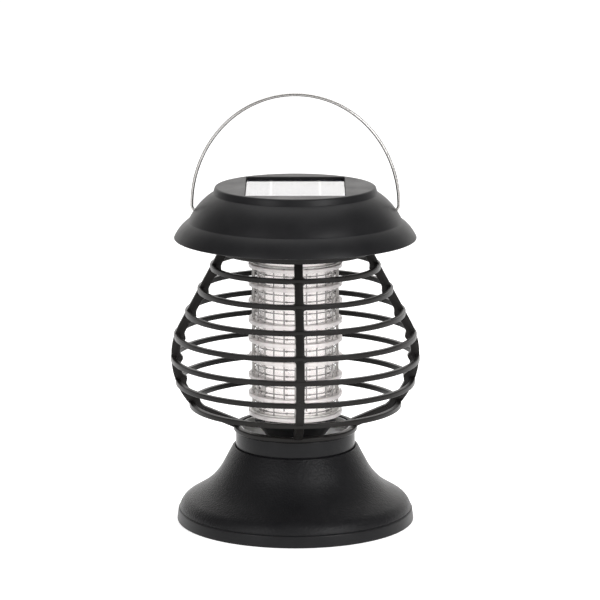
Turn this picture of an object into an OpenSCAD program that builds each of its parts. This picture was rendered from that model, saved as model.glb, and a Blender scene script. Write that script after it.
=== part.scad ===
// Solar bug zapper: a lantern with a twist-off cap, a wire bail, a cage round an
// electrified tube, and a flared foot that the lamp lifts off.
// Millimetres, +Z up, front towards -Y, origin at the centre of the foot's underside.

/* [Foot] */
// Radius of the smooth rim where it stands on the table
foot_r = 64.3; // [60:0.1:70]
// Height of the smooth rim
rim_h = 6.5; // [4:0.1:9]
// Outer radius of the foot's neck at its top edge
neck_r = 33.9; // [33.5:0.1:36]
// Height of the neck's top edge
neck_z = 40.9; // [38:0.1:44]
// Wall thickness of the mouldings
wall = 2.2; // [1.6:0.1:2.6]

/* [Collar and tray] */
// Outer radius of the collar that plugs into the foot
collar_r = 32.3; // [30:0.1:33]
// Height of the collar's top edge
collar_top = 49.5; // [48:0.1:51]
// Height at which the collar rests on the foot's shelf
collar_seat = 29; // [27:0.1:32]

/* [Cage] */
// Number of hoops
hoops = 7; // [7:1:7]
// Height of the highest hoop's middle
hoop_top_z = 139.6; // [138:0.1:141]
// Distance between hoops
hoop_pitch = 12.53; // [12:0.01:12.8]
// Height of one hoop's band
hoop_h = 2.7; // [2:0.1:3.5]
// Radial thickness of one hoop
hoop_t = 2.8; // [2:0.1:3.5]
// Width of a rib
rib_w = 4.5; // [3.5:0.1:6]
// Depth of a rib, from its outer to its inner edge
rib_t = 4.7; // [4:0.1:5.5]
// Turn of the cage and its ribs about the lamp's axis, degrees
cage_turn = 2.4; // [0:0.1:10]

/* [Grid tube] */
// Outer radius of the insulator tube
tube_r = 20.5; // [19:0.1:20.7]
// Radius of the tube's flanges
flange_r = 25.3; // [24.5:0.1:26.5]
// Number of flanges
flanges = 9; // [9:1:9]
// Distance between flanges
flange_pitch = 10.125; // [10:0.005:10.2]
// Number of grid wires, both polarities together
wires = 24; // [12:4:32]
// Diameter of a grid wire
wire_d = 0.8; // [0.6:0.1:1]

/* [Cap] */
// Height of the cap's flat top
cap_top = 182.9; // [182:0.1:184]
// Radius of the flat top
cap_flat_r = 43.2; // [42.5:0.1:43.6]
// Width of the solar panel
panel_w = 53.4; // [50:0.1:54]
// Depth of the solar panel, front to back
panel_d = 61; // [56:0.1:62]
// Twist between the locked and the free cap, degrees
bayonet_turn = 30; // [28:1:40]

/* [Bail] */
// Diameter of the bail wire
bail_d = 1.7; // [1.5:0.1:2]
// Half of the bail's width, to the middle of the wire
bail_half = 55.4; // [55:0.1:57]
// Height of the bail's hinge axis
bail_z = 170; // [169:0.1:171]

/* [Hidden] */
$fn = 120;
// Points along one arc of an outline
arc_steps = 14;

// Colours of the mouldings and metals
black_satin = [0.10, 0.10, 0.11];
black_gloss = [0.05, 0.05, 0.06];
steel = [0.72, 0.73, 0.74];
brass = [0.80, 0.66, 0.36];
clear = [0.90, 0.87, 0.87];
milky = [0.86, 0.85, 0.83];

// Foot: a straight neck flank, a concave sweep, a straight skirt and a round shoulder
flank_slope = 28.8;
skirt_slope = 59;
sweep_r = 37.5;
sweep_c = [72.25, 48.6];
shoulder_r = 9.5;
shoulder_c = [53.6, 4.96];
shoulder_end = 12;
socket_r = collar_r + 0.3;
shelf_t = 2;
shelf_hole = 24;
base_floor = 1.2;
base_t = 1.6;
skirt_r = 61.9;
foot_post_at = 48;
foot_post_r = 3.2;
foot_post_top = 17;
foot_post_turn = 30;

// Collar and what stands in it
collar_t = 2;
collar_floor = 42;
tray_r = 30;
tray_wall = 1.2;
tray_floor = collar_floor + collar_t;
tray_t = 1.5;
tray_top = 52;
cup_r = 22;
cup_wall = 1.2;
cup_foot_r = 14.8;
cup_foot_z = tray_floor + tray_t;
cup_cone_z = 54.5;
cup_top = 58;
cup_seat = 53;
cup_notches = 8;

// Cage outline: a straight upper flank, two arcs, and a straight leg to the base ring
flank_foot = [62.7, 108.1];
upper_c = [31, 91];
upper_r = 36;
upper_slope = 28.3;
lower_c = [26, 91];
lower_r = 41;
lower_turn = 52;
leg_end = [33.5, 51.2];
leg_slope = 22;
base_ring_r = 33.5;
base_ring_top = 52.5;
ring_bottom = 148;
ring_top = 155;
ring_in = 36;
ring_out = 41.6;

// Bayonet
spigot_in = 31;
spigot_r = 33.4;
spigot_bottom = 146.6;
lug_count = 3;
lug_arc = 24;
lug_gap = 0.4;

// Tube and grid
tube_wall = 1.8;
tube_bottom = 53.6;
tube_top = 153;
flange_t = 2.2;
flange_top_z = 140.8;
wire_at = 23;
wire_hole = wire_d / 2 + 0.15;
ring_t = 0.8;
grid_ring_out = 24.2;
// Wire hoops: a live one and a return one in each gap between flanges
hoop_wire_d = 0.6;
hoop_wire_at = 22;
hoop_wire_apart = 3.6;
low_ring_z = flange_top_z - (flanges - 1) * flange_pitch + flange_t / 2;
high_ring_z = 142.2;
guide_r = 16.5;
// Gap between the guide's top flange and the tube round it
guide_gap = 0.1;
guide_bottom = 57;
guide_top = 145;

// Cap: a shoulder arc over a flare arc, both offset inwards by the wall
cap_wall = 2;
cap_shoulder_c = [27.2, 150.9];
cap_shoulder_r = 33;
cap_flare_c = [45.3, 146.3];
cap_flare_r = 21.8;
cap_rim_z = 154.9;
cap_under = 178.5;
recess_floor = 179.7;
cell_t = 1.3;
glass_t = 0.6;
panel_gap = 0.2;
cover_z = ring_top;
cover_t = 2;
cover_top = cover_z + cover_t;
cover_r = 61.4;
post_at = 50;
post_r = 3.2;
post_top = 169;
screw_r = 1.2;
head_r = 2.8;
board_z = 163;
board_y = 10;
cell_r = 7.1;
cell_len = 49.5;
cell_y = -24;
cell_z = cover_top + 1.2 + cell_r + 0.2;
switch_y = 49;
switch_travel = 4;
slider_z = cover_top + 0.1;
slider_t = 1.2;

// Bail: a tall half ellipse of wire, bent in at each foot to a straight pin
bail_bend = 2.4;
bail_low = bail_z + bail_bend;
bail_rise = 59.8;
bail_tip = 48.5;
bail_sides = 12;
bail_step = 4;
pin_d = bail_d - 0.1;
bail_bore = pin_d / 2 + 0.07;
// Wider mouth of the bore, where the wire's bend begins
mouth_r = 1.9;
mouth_x = 52.4;
bail_path = concat(
    [[bail_half - bail_bend - 1, bail_z]],
    [for (a = [-90:15:0]) [bail_half - bail_bend + bail_bend * cos(a), bail_low + bail_bend * sin(a)]],
    [for (a = [bail_step:bail_step:180 - bail_step]) [bail_half * cos(a), bail_low + bail_rise * sin(a)]],
    [for (a = [180:15:270]) [bail_bend - bail_half + bail_bend * cos(a), bail_low + bail_bend * sin(a)]],
    [[bail_bend - bail_half + 1, bail_z]]
);

// Points on an arc about c from angle a0 to a1
function arc(c, r, a0, a1) =
    [for (i = [0:arc_steps]) let (a = a0 + (a1 - a0) * i / arc_steps) c + r * [cos(a), sin(a)]];

// Outer edge of a rib, grown inwards by t, from the top ring down to the base ring
function rib_edge(t) = concat(
    [flank_foot + 60 * [-sin(upper_slope), cos(upper_slope)] - t * [cos(upper_slope), sin(upper_slope)]],
    arc(upper_c, upper_r - t, upper_slope, 0),
    arc(lower_c, lower_r - t, -2, -lower_turn),
    [leg_end + t * [-sin(leg_slope), cos(leg_slope)] - 6 * [cos(leg_slope), sin(leg_slope)]]
);

// Outer radius of the cage at height z
function cage_r(z) =
    z > flank_foot[1] ? flank_foot[0] - (z - flank_foot[1]) * tan(upper_slope) :
    z > upper_c[1] ? upper_c[0] + sqrt(pow(upper_r, 2) - pow(z - upper_c[1], 2)) :
    lower_c[0] + sqrt(pow(lower_r, 2) - pow(z - lower_c[1], 2));

// A ring from r0 to r1 between two heights
module ring(r0, r1, z0, z1) {
    translate([0, 0, z0]) difference() {
        cylinder(r = r1, h = z1 - z0);
        translate([0, 0, -1]) cylinder(r = r0, h = z1 - z0 + 2);
    }
}

// A ring cut down to one sector of the given angle, centred on the direction "at"
module sector(r0, r1, z0, z1, at, angle) {
    rotate([0, 0, at - angle / 2]) translate([0, 0, z0])
        rotate_extrude(angle = angle) translate([r0, 0]) square([r1 - r0, z1 - z0]);
}

// A screw hanging head down, its head's underside at z = 0 and its shank upwards
module pan_screw(shank, length, head, head_h) {
    difference() {
        translate([0, 0, -head_h]) cylinder(r = head, h = head_h, $fn = 40);
        for (turn = [0, 90])
            rotate([0, 0, turn]) translate([-head * 0.6, -0.3, -head_h - 0.1]) cube([head * 1.2, 0.6, 0.8]);
    }
    cylinder(r = shank, h = length, $fn = 32);
}

// Outline of the foot's skin, moved inwards by t
function foot_edge(t) = concat(
    [[neck_r, neck_z] - t * [cos(flank_slope), sin(flank_slope)]],
    [for (p = arc(sweep_c, sweep_r + t, 180 + flank_slope, 180 + skirt_slope)) p],
    [for (p = arc(shoulder_c, shoulder_r - t, skirt_slope, shoulder_end)) p]
);

module foot_bell() {
    color(black_satin) difference() {
        union() {
            rotate_extrude() polygon(concat(
                foot_edge(0),
                [[shoulder_c[0] + shoulder_r * cos(shoulder_end), rim_h], [skirt_r, rim_h]],
                [[skirt_r, base_floor + base_t], [skirt_r - wall, base_floor + base_t]],
                [for (i = [0:len(foot_edge(wall)) - 1]) foot_edge(wall)[len(foot_edge(wall)) - 1 - i]]
            ));
            ring(socket_r, neck_r, collar_seat - shelf_t, neck_z);
            ring(shelf_hole, neck_r, collar_seat - shelf_t, collar_seat);
            ring(neck_r - 1, 41 - wall, collar_seat - shelf_t, collar_seat);
            for (i = [0:2]) rotate([0, 0, foot_post_turn + 120 * i])
                translate([foot_post_at, 0, base_floor + base_t])
                    cylinder(r = foot_post_r, h = foot_post_top - base_floor - base_t, $fn = 48);
        }
        translate([0, 0, collar_seat]) cylinder(r = socket_r, h = 20);
        for (i = [0:2]) rotate([0, 0, foot_post_turn + 120 * i]) translate([foot_post_at, 0, 0])
            cylinder(r = screw_r + 0.1, h = 13, $fn = 32);
        // Drain slot low on the left side
        translate([-66, -1.6, 9.2]) cube([10, 3.2, 0.9]);
    }
}

module foot_base() {
    color(black_gloss) difference() {
        rotate_extrude() polygon([
            [0, base_floor], [foot_r - 4.3, base_floor], [foot_r - 3.8, 0], [foot_r - 0.4, 0],
            [foot_r, 0.5], [foot_r - 0.7, rim_h - 0.4], [foot_r - 1.1, rim_h], [skirt_r + 0.1, rim_h],
            [skirt_r + 0.1, base_floor + base_t], [0, base_floor + base_t]
        ]);
        for (i = [0:2]) rotate([0, 0, foot_post_turn + 120 * i]) translate([foot_post_at, 0, 0])
            cylinder(r = screw_r + 0.4, h = 5, $fn = 32);
    }
}

module foot_screws() {
    color(steel) for (i = [0:2]) rotate([0, 0, foot_post_turn + 120 * i])
        translate([foot_post_at, 0, base_floor]) pan_screw(screw_r, 9, head_r, 1);
}

module collar() {
    color(black_gloss) difference() {
        union() {
            ring(collar_r - collar_t, collar_r, collar_seat, collar_top);
            ring(0, collar_r - 1, collar_floor, tray_floor);
        }
        cylinder(r = screw_r + 0.4, h = 60, $fn = 32);
    }
}

module catch_tray() {
    color(milky) difference() {
        rotate_extrude() polygon([
            [0, tray_floor], [tray_r - 1, tray_floor], [tray_r, tray_floor + 1], [tray_r, tray_top],
            [tray_r - tray_wall, tray_top], [tray_r - tray_wall, tray_floor + tray_t + 1],
            [tray_r - tray_wall - 1, tray_floor + tray_t], [0, tray_floor + tray_t]
        ]);
        cylinder(r = screw_r + 0.4, h = 60, $fn = 32);
    }
}

module tube_holder() {
    color(black_satin) difference() {
        rotate_extrude() polygon([
            [0, cup_foot_z], [cup_foot_r, cup_foot_z], [cup_r, cup_cone_z], [cup_r, cup_top],
            [cup_r - cup_wall, cup_top], [cup_r - cup_wall, cup_seat], [tube_r - 3.5, cup_seat],
            [cup_foot_r - 3, cup_foot_z + 2], [0, cup_foot_z + 2]
        ]);
        cylinder(r = screw_r, h = 60, $fn = 32);
        for (i = [0:cup_notches - 1]) rotate([0, 0, 360 * i / cup_notches])
            translate([cup_r - 3, -2.2, cup_top - 1.1]) cube([5, 4.4, 3]);
    }
}

module holder_screw() {
    color(steel) translate([0, 0, collar_floor]) pan_screw(screw_r, 8, head_r, 1.6);
}

// One hoop of the cage, in the four stretches between the ribs
module cage_hoop(index) {
    z = hoop_top_z - (index - 1) * hoop_pitch;
    r = cage_r(z) + 0.2;
    color(black_gloss) difference() {
        ring(r - hoop_t, r, z - hoop_h / 2, z + hoop_h / 2);
        for (turn = [0, 90]) rotate([0, 0, turn + cage_turn])
            translate([-80, -rib_w / 2, z - 5]) cube([160, rib_w, 10]);
    }
}

// One rib of the cage, from the bayonet ring down to the base ring, towards "turn"
module cage_rib(turn) {
    color(black_gloss) rotate([0, 0, turn + cage_turn]) intersection() {
        rotate([90, 0, 0]) translate([0, 0, -rib_w / 2]) linear_extrude(rib_w) polygon(concat(
            rib_edge(0),
            [for (i = [0:len(rib_edge(rib_t)) - 1]) rib_edge(rib_t)[len(rib_edge(rib_t)) - 1 - i]]
        ));
        translate([tray_r + 0.3, -10, base_ring_top]) cube([60, 20, ring_bottom - base_ring_top]);
    }
}

module cage_base_ring() {
    color(black_gloss) rotate_extrude() polygon([
        [tray_r + 0.3, collar_top], [base_ring_r - 0.6, collar_top], [base_ring_r, collar_top + 0.6],
        [base_ring_r, base_ring_top - 0.5], [base_ring_r - 0.5, base_ring_top], [tray_r + 0.3, base_ring_top]
    ]);
}

module cage_top_ring() {
    color(black_gloss) {
        ring(ring_in, ring_out, ring_bottom, ring_top);
        for (i = [0:lug_count - 1])
            sector(spigot_r + lug_gap, ring_in + 1, ring_bottom + 1.6, ring_bottom + 4, 120 * i, lug_arc - 2);
    }
}

// Half of the cap's section, moved inwards by t, from the flat top down to the rim
function cap_edge(t) = concat(
    arc(cap_shoulder_c, cap_shoulder_r - t, 59.3, t > 0 ? 24.5 : 25.9),
    arc(cap_flare_c, cap_flare_r - t, t > 0 ? 60 : 56.6, t > 0 ? 26 : 25.3)
);

module cap_shell() {
    color(black_satin) difference() {
        union() {
            rotate_extrude() polygon(concat(
                [[0, cap_top], [cap_flat_r - 0.6, cap_top], [cap_flat_r, cap_top - 0.6]],
                cap_edge(0),
                [[65.1, 155.2], [64.6, cap_rim_z]],
                [for (i = [0:len(cap_edge(cap_wall)) - 1]) cap_edge(cap_wall)[len(cap_edge(cap_wall)) - 1 - i]],
                [[41.3, cap_under], [0, cap_under]]
            ));
            for (i = [0:3]) rotate([0, 0, 45 + 90 * i]) translate([post_at, 0, cover_top])
                cylinder(r = post_r, h = post_top - cover_top, $fn = 48);
            for (side = [-1, 1]) translate([side * 50.7, 0, bail_z]) rotate([0, 90, 0])
                cylinder(r = 3, h = 4.4, center = true, $fn = 48);
        }
        translate([-panel_w / 2, -panel_d / 2, recess_floor]) cube([panel_w, panel_d, 10]);
        translate([-3, 20, cap_under - 1]) cube([6, 3, 5]);
        for (i = [0:3]) rotate([0, 0, 45 + 90 * i]) translate([post_at, 0, cover_top - 1])
            cylinder(r = screw_r + 0.1, h = 10, $fn = 32);
        for (side = [-1, 1]) translate([side * 53, 0, bail_z]) rotate([0, 90, 0])
            cylinder(r = bail_bore, h = 12, center = true, $fn = 48);
        for (side = [-1, 1]) translate([side * (mouth_x + 5), 0, bail_z]) rotate([0, 90, 0])
            cylinder(r = mouth_r, h = 10, center = true, $fn = 48);
    }
}

module cap_base() {
    color(black_satin) difference() {
        union() {
            ring(0, cover_r, cover_z, cover_top);
            ring(spigot_in, spigot_r, spigot_bottom, cover_z + 0.5);
            ring(tube_r + 0.1, tube_r + 1.9, 149.5, cover_z + 0.5);
            for (i = [0:lug_count - 1])
                sector(spigot_in + 1, ring_in - 0.7, ring_bottom - 1, ring_bottom + 1.2, 120 * i, lug_arc);
            for (x = [-18, 18], y = [-9, 9]) translate([x, board_y + y, cover_z + 1])
                cylinder(r = 2, h = board_z - cover_z - 1, $fn = 32);
        }
        for (i = [0:3]) rotate([0, 0, 45 + 90 * i]) translate([post_at, 0, cover_z - 1])
            cylinder(r = screw_r + 0.4, h = 5, $fn = 32);
        translate([-switch_travel / 2 - 2, switch_y - 1.7, cover_z - 1]) cube([switch_travel + 4, 3.4, 5]);
        for (x = [-1, 1]) translate([x * 4, 0, cover_z - 1]) cylinder(r = 1, h = 5, $fn = 32);
    }
}

module cap_screws() {
    color(steel) for (i = [0:3]) rotate([0, 0, 45 + 90 * i])
        translate([post_at, 0, cover_z]) pan_screw(screw_r, 9, head_r, 1.3);
}

module solar_cells() {
    color([0.05, 0.07, 0.16]) translate([-panel_w / 2 + panel_gap, -panel_d / 2 + panel_gap, recess_floor])
        cube([panel_w - 2 * panel_gap, panel_d - 2 * panel_gap, cell_t]);
}

module panel_glass() {
    color([0.85, 0.88, 0.92])
        translate([-panel_w / 2 + panel_gap, -panel_d / 2 + panel_gap, recess_floor + cell_t])
            cube([panel_w - 2 * panel_gap, panel_d - 2 * panel_gap, glass_t]);
}

module panel_leads() {
    for (side = [-1, 1]) color(side < 0 ? [0.1, 0.1, 0.1] : [0.75, 0.1, 0.08])
        translate([side * 1.6, 21.5, board_z + 1.6]) cylinder(r = 0.6, h = recess_floor - board_z - 1.6, $fn = 24);
}

module battery() {
    color([0.20, 0.45, 0.30]) translate([-cell_len / 2 + 1.2, cell_y, cell_z]) rotate([0, 90, 0]) {
        cylinder(r = cell_r, h = cell_len - 1.2);
        translate([0, 0, cell_len - 1.3]) cylinder(r = 2.7, h = 1.2, $fn = 48);
    }
}

module battery_holder() {
    color([0.12, 0.12, 0.12]) translate([0, cell_y, cover_top]) {
        translate([-29, -7.5, 0]) cube([58, 15, 1]);
        for (x = [-29, 27.4]) translate([x, -7.5, 0]) cube([1.6, 15, 13]);
    }
}

module battery_contacts() {
    color(steel) {
        translate([26.6, cell_y - 4, cover_top + 2]) cube([0.8, 8, 11]);
        translate([-27.4, cell_y - 4, cover_top + 2]) cube([0.6, 8, 11]);
        translate([-26.8, cell_y, cell_z]) rotate([0, 90, 0]) cylinder(r1 = 4, r2 = 2.6, h = 3.2, $fn = 48);
    }
}

module circuit_board() {
    color([0.08, 0.35, 0.18]) translate([-22, board_y - 13, board_z]) cube([44, 26, 1.6]);
}

module transformer() {
    color([0.25, 0.22, 0.20]) translate([-12, board_y, board_z + 1.6]) {
        translate([-6, -6.5, 0]) cube([12, 13, 3]);
        cylinder(r = 4.5, h = 7, $fn = 48);
        translate([-6, -6.5, 7]) cube([12, 13, 2]);
    }
}

module hv_capacitor() {
    color([0.55, 0.12, 0.10]) translate([1, board_y - 7, board_z + 1.6]) cube([12, 5, 9]);
}

module control_chip() {
    color([0.06, 0.06, 0.06]) translate([4, board_y + 1, board_z + 1.6]) cube([5, 4, 1.5]);
}

module led_board() {
    color([0.92, 0.92, 0.90]) translate([0, 0, cover_z - 1.6]) cylinder(r = 18.3, h = 1.6);
}

module uv_leds() {
    color([0.62, 0.55, 0.85]) for (i = [0:3]) rotate([0, 0, 45 + 90 * i])
        translate([6, 0, cover_z - 1.6 - 5.5]) {
            cylinder(r = 2.5, h = 5.5, $fn = 32);
            sphere(r = 2.5, $fn = 32);
        }
}

module light_guide() {
    color(milky) rotate_extrude() polygon([
        [0, guide_bottom], [guide_r - 2, guide_bottom], [guide_r, guide_bottom + 2], [guide_r, guide_top - 1.5],
        [tube_r - tube_wall - guide_gap, guide_top - 1.5], [tube_r - tube_wall - guide_gap, guide_top],
        [guide_r - 1.5, guide_top],
        [guide_r - 1.5, guide_bottom + 2.5], [guide_r - 2.6, guide_bottom + 1.5], [0, guide_bottom + 1.5]
    ]);
}

module grid_tube() {
    color(clear) {
        ring(tube_r - tube_wall, tube_r, tube_bottom, tube_top);
        for (i = [0:flanges - 1]) translate([0, 0, flange_top_z - i * flange_pitch - flange_t / 2])
            linear_extrude(flange_t) difference() {
                circle(r = flange_r);
                circle(r = tube_r - tube_wall / 2);
                for (k = [0:wires - 1]) rotate(k * 360 / wires) translate([wire_at, 0])
                    circle(r = wire_hole, $fn = 24);
            }
    }
}

// A wire standing at direction "at" between two heights
module grid_wire(at, z0, z1) {
    rotate([0, 0, at]) translate([wire_at, 0, z0]) cylinder(r = wire_d / 2, h = z1 - z0, $fn = 24);
}

module live_wires() {
    step = 360 / wires;
    color(steel) for (k = [1:2:wires - 1]) {
        grid_wire(k * step, low_ring_z + 3.6, high_ring_z);
        if (k == 1) grid_wire(k * step, high_ring_z + ring_t, cover_z);
    }
}

module return_wires() {
    step = 360 / wires;
    color(steel) for (k = [0:2:wires - 2])
        grid_wire(k * step, low_ring_z + ring_t, k == 0 ? cover_z : flange_top_z);
}

module live_ring() {
    color(brass) difference() {
        ring(tube_r + 0.1, grid_ring_out, high_ring_z, high_ring_z + ring_t);
        translate([tube_r - 1, -1.6, high_ring_z - 1]) cube([8, 3.2, 3]);
    }
}

module return_ring() {
    color(brass) ring(tube_r + 0.1, grid_ring_out, low_ring_z, low_ring_z + ring_t);
}

// One thin wire hoop in every gap between flanges, "shift" above the gap's middle
module wire_hoops(shift) {
    color(steel) for (i = [0:flanges - 2])
        translate([0, 0, flange_top_z - (i + 0.5) * flange_pitch + shift])
            rotate_extrude() translate([hoop_wire_at, 0]) circle(d = hoop_wire_d, $fn = 24);
}

module live_hoops() {
    wire_hoops(hoop_wire_apart / 2);
}

module return_hoops() {
    wire_hoops(-hoop_wire_apart / 2);
}

module switch_body() {
    color([0.15, 0.15, 0.16]) translate([-10, switch_y - 3.5, cover_top]) difference() {
        cube([20, 7, 7]);
        translate([2, -1, -1]) cube([16, 9, slider_z + slider_t + 0.1 - cover_top + 1]);
    }
}

module switch_knob() {
    color([0.85, 0.85, 0.84]) {
        translate([-switch_travel / 2 - 3, switch_y - 2.8, slider_z]) cube([6, 5.6, slider_t]);
        translate([-switch_travel / 2 - 1.7, switch_y - 1.5, cover_z - 2.2])
            cube([3.4, 3, slider_z - cover_z + 2.3]);
    }
}

// Direction of the wire at point i of its path
function bail_heading(i) = let (
    d = bail_path[min(i + 1, len(bail_path) - 1)] - bail_path[max(i - 1, 0)]
) d / norm(d);

module bail() {
    rings = len(bail_path);
    points = [for (i = [0:rings - 1]) let (d = bail_heading(i)) for (k = [0:bail_sides - 1])
        let (a = 360 * k / bail_sides, out = bail_d / 2 * cos(a), side = bail_d / 2 * sin(a))
            [bail_path[i][0] + out * d[1], side, bail_path[i][1] - out * d[0]]];
    faces = concat(
        [[for (k = [0:bail_sides - 1]) k]],
        [for (i = [0:rings - 2]) for (k = [0:bail_sides - 1]) let (n = (k + 1) % bail_sides)
            [i * bail_sides + n, i * bail_sides + k, (i + 1) * bail_sides + k, (i + 1) * bail_sides + n]],
        [[for (k = [bail_sides - 1:-1:0]) (rings - 1) * bail_sides + k]]
    );
    color(steel) {
        polyhedron(points, faces, convexity = 8);
        for (side = [-1, 1]) translate([side * (bail_tip + 2), 0, bail_z]) rotate([0, 90, 0])
            cylinder(d = pin_d, h = 4.8, center = true, $fn = 24);
    }
}

foot_bell();
foot_base();
foot_screws();
collar();
catch_tray();
tube_holder();
holder_screw();
for (i = [1:hoops]) cage_hoop(i);
cage_rib(-90);  // rib_front
cage_rib(0);  // rib_right
cage_rib(90);  // rib_back
cage_rib(180);  // rib_left
cage_base_ring();
cage_top_ring();
cap_shell();
cap_base();
cap_screws();
solar_cells();
panel_glass();
panel_leads();
battery();
battery_holder();
battery_contacts();
circuit_board();
transformer();
hv_capacitor();
control_chip();
led_board();
uv_leds();
light_guide();
grid_tube();
live_wires();
return_wires();
live_ring();
return_ring();
live_hoops();
return_hoops();
switch_body();
switch_knob();
bail();
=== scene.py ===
import math

import bmesh
import bpy
import numpy as np
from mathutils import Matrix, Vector


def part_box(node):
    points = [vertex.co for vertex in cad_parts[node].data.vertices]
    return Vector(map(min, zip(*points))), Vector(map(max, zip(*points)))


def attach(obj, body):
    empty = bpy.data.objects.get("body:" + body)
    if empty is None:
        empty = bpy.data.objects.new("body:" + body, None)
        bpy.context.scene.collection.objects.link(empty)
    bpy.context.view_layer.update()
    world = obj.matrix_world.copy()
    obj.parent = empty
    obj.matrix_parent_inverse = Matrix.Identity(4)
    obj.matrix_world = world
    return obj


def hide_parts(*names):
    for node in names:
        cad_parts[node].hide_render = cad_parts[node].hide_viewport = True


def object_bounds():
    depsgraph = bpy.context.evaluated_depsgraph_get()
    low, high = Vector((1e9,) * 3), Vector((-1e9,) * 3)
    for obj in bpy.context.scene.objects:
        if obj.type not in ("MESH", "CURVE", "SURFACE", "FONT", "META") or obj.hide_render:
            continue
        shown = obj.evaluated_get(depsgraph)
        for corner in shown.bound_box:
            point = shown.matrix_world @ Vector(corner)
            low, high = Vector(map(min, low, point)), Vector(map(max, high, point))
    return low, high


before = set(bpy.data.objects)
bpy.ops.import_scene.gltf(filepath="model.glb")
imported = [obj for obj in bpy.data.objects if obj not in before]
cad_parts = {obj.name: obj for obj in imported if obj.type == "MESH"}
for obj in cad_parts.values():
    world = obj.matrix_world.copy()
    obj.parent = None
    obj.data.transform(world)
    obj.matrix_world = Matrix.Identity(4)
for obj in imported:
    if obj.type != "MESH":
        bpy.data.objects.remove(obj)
cad_low, cad_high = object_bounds()
mm = 0.001

# ---------------------------------------------------------------------------
# Foot shell: one moulding in black polypropylene with a leather grain. It rises from a low
# skirt through a hollow sweep to the neck that the lamp's collar drops into, and three posts
# inside it take the screws of the base plate.
neck_r, neck_top = 33.9, 40.9
foot_wall = 2.2
sweep_centre, sweep_r = (72.25, 48.6), 37.5
shoulder_centre, shoulder_r = (53.6, 4.96), 9.5
flank, skirt, shoulder_end = 28.8, 59.0, 12.0
socket_r, shelf_z, shelf_t, shelf_hole = 32.6, 29.0, 2.0, 24.0
skirt_r, skirt_z, rim_top = 61.9, 2.8, 6.5
foot_post_at, foot_post_r, foot_post_top = 48.0, 3.2, 17.0
foot_post_turns = np.radians([30.0, 150.0, 270.0])


def arc(centre, radius, start, end, steps=24):
    """Points on a circle: centre + radius * (cos a, sin a), with a evenly spaced from start to
    end, in degrees."""
    a = np.radians(np.linspace(start, end, steps))
    return np.column_stack([centre[0] + radius * np.cos(a), centre[1] + radius * np.sin(a)])


def soften(outline, cut, steps=5):
    """Rounds the sharp corners of a closed outline. A corner C becomes the curve
    (1-t)^2 A + 2t(1-t) C + t^2 B, with A and B on its two sides, `cut` away from it."""
    outline = np.asarray(outline, float)
    back, on = np.roll(outline, 1, 0) - outline, np.roll(outline, -1, 0) - outline
    back_l, on_l = np.linalg.norm(back, axis=1)[:, None], np.linalg.norm(on, axis=1)[:, None]
    straight = -(back * on).sum(1) / (back_l * on_l)[:, 0]
    sharp = (straight < math.cos(math.radians(17))) & (outline[:, 0] > 1e-6)
    a = outline + back * np.minimum(cut / back_l, 0.45)
    b = outline + on * np.minimum(cut / on_l, 0.45)
    t = np.linspace(0, 1, steps)[None, :, None]
    curve = (1 - t) ** 2 * a[:, None] + 2 * t * (1 - t) * outline[:, None] + t**2 * b[:, None]
    curve = np.where(sharp[:, None, None], curve, outline[:, None])
    return curve[sharp[:, None] | (np.arange(steps) == steps // 2)[None]]


def grid_faces(rows, columns, round_rows, round_columns):
    """Four-sided faces of a grid of rows x columns points, closed on itself where asked."""
    i = np.arange(rows if round_rows else rows - 1)[:, None]
    j = np.arange(columns if round_columns else columns - 1)[None, :]
    down, right = (i + 1) % rows, (j + 1) % columns
    corners = (i * columns + j, i * columns + right, down * columns + right, down * columns + j)
    return np.stack(np.broadcast_arrays(*corners), -1).reshape(-1, 4)


def turned(outline, around=160):
    """Turns an outline of (radius, height) about the vertical axis: (r, z) goes to
    (r cos a, r sin a, z). The outline is taken anticlockwise, so that the skin faces outwards."""
    r, z = outline[:, 0], outline[:, 1]
    if (r * np.roll(z, -1) - np.roll(r, -1) * z).sum() < 0:
        r, z = r[::-1], z[::-1]
    if r.min() < 1e-6:
        first = int(np.flatnonzero((r < 1e-6) & (np.roll(r, 1) < 1e-6))[0])
        r, z = np.roll(r, -first), np.roll(z, -first)
    a = np.arange(around) * 2 * math.pi / around
    points = np.stack([r[:, None] * np.cos(a), r[:, None] * np.sin(a), z[:, None] + 0 * a], -1)
    return points.reshape(-1, 3), grid_faces(len(r), around, r.min() > 1e-6, True)


def moved(shape, x=0.0, y=0.0, z=0.0, turn=0.0):
    """The shape turned by `turn` radians about the vertical axis, then shifted."""
    points, faces = shape
    c, s = math.cos(turn), math.sin(turn)
    return points @ np.array([[c, s, 0], [-s, c, 0], [0, 0, 1]]) + (x, y, z), faces


def joined(shapes):
    """Several shapes as one: all their points, and their faces renumbered to match."""
    starts = np.cumsum([0] + [len(p) for p, _ in shapes[:-1]])
    return (np.concatenate([p for p, _ in shapes]),
            np.concatenate([f + s for (_, f), s in zip(shapes, starts)]))


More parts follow.
